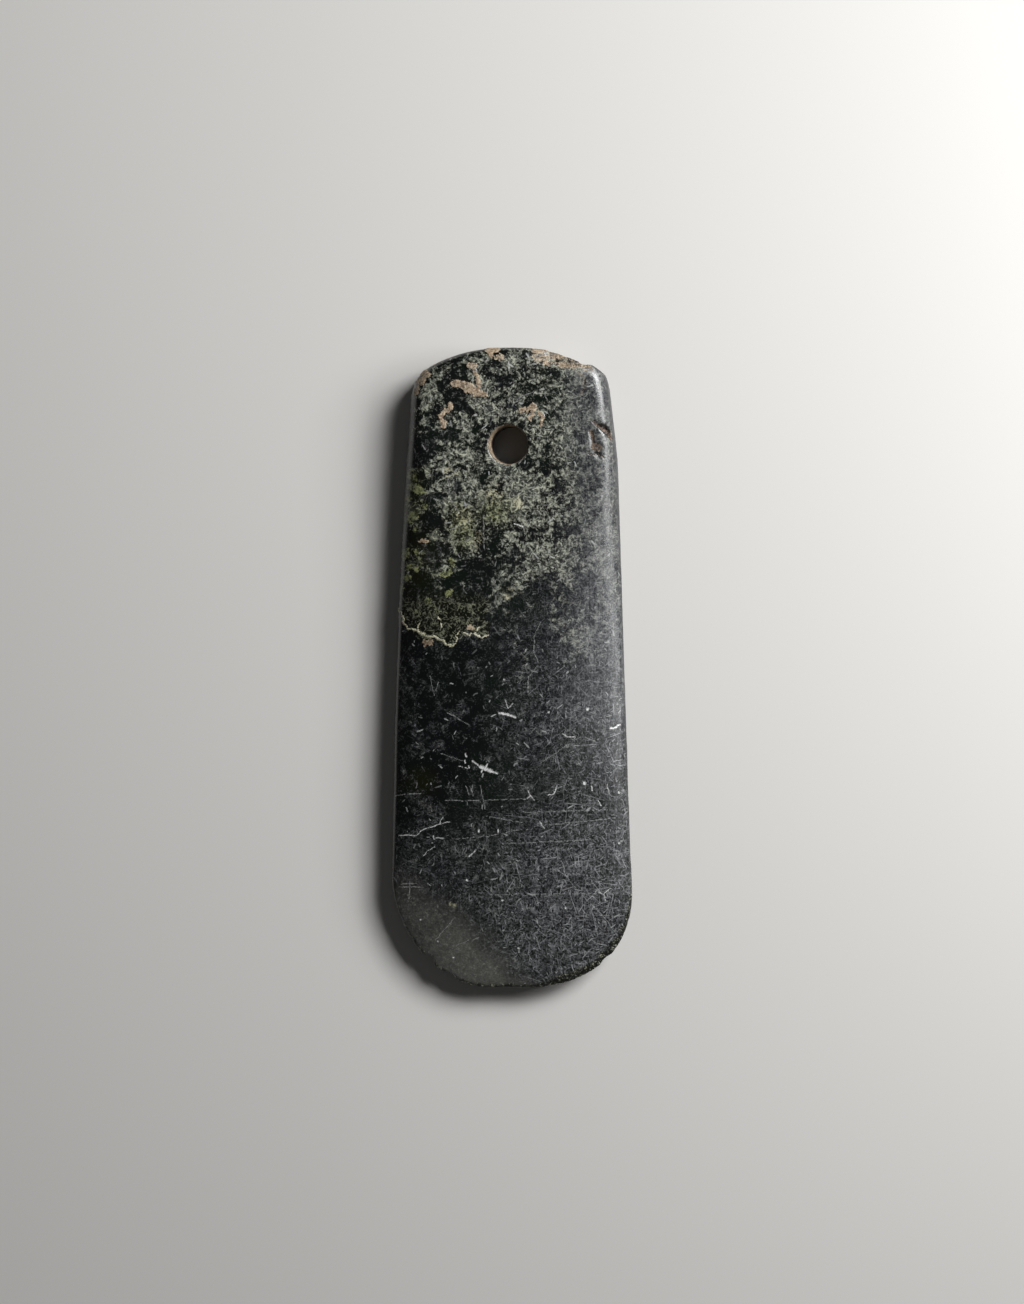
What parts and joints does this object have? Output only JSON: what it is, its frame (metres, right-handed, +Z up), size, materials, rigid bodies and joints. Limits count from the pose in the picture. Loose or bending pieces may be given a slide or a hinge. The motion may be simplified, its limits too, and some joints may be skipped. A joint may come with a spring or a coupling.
{
  "type": "axe head",
  "caption": "Flat perforated axe head of polished jadeite, with a rounded, chipped cutting edge and a worn, encrusted butt.",
  "frame": {"origin": "under the middle of the head's box, on the surface that it lies on", "axes": "+Y from the cutting edge to the butt, +X to the right of someone who looks down on it, +Z up"},
  "size_m": [0.064, 0.17, 0.012],
  "materials": {
    "jadeite": "polished dark green-grey jadeite, mottled, finely scratched, with tan crust at the butt"
  },
  "bodies": {
    "root": {"axe_head": "jadeite"}
  },
  "joints": []
}
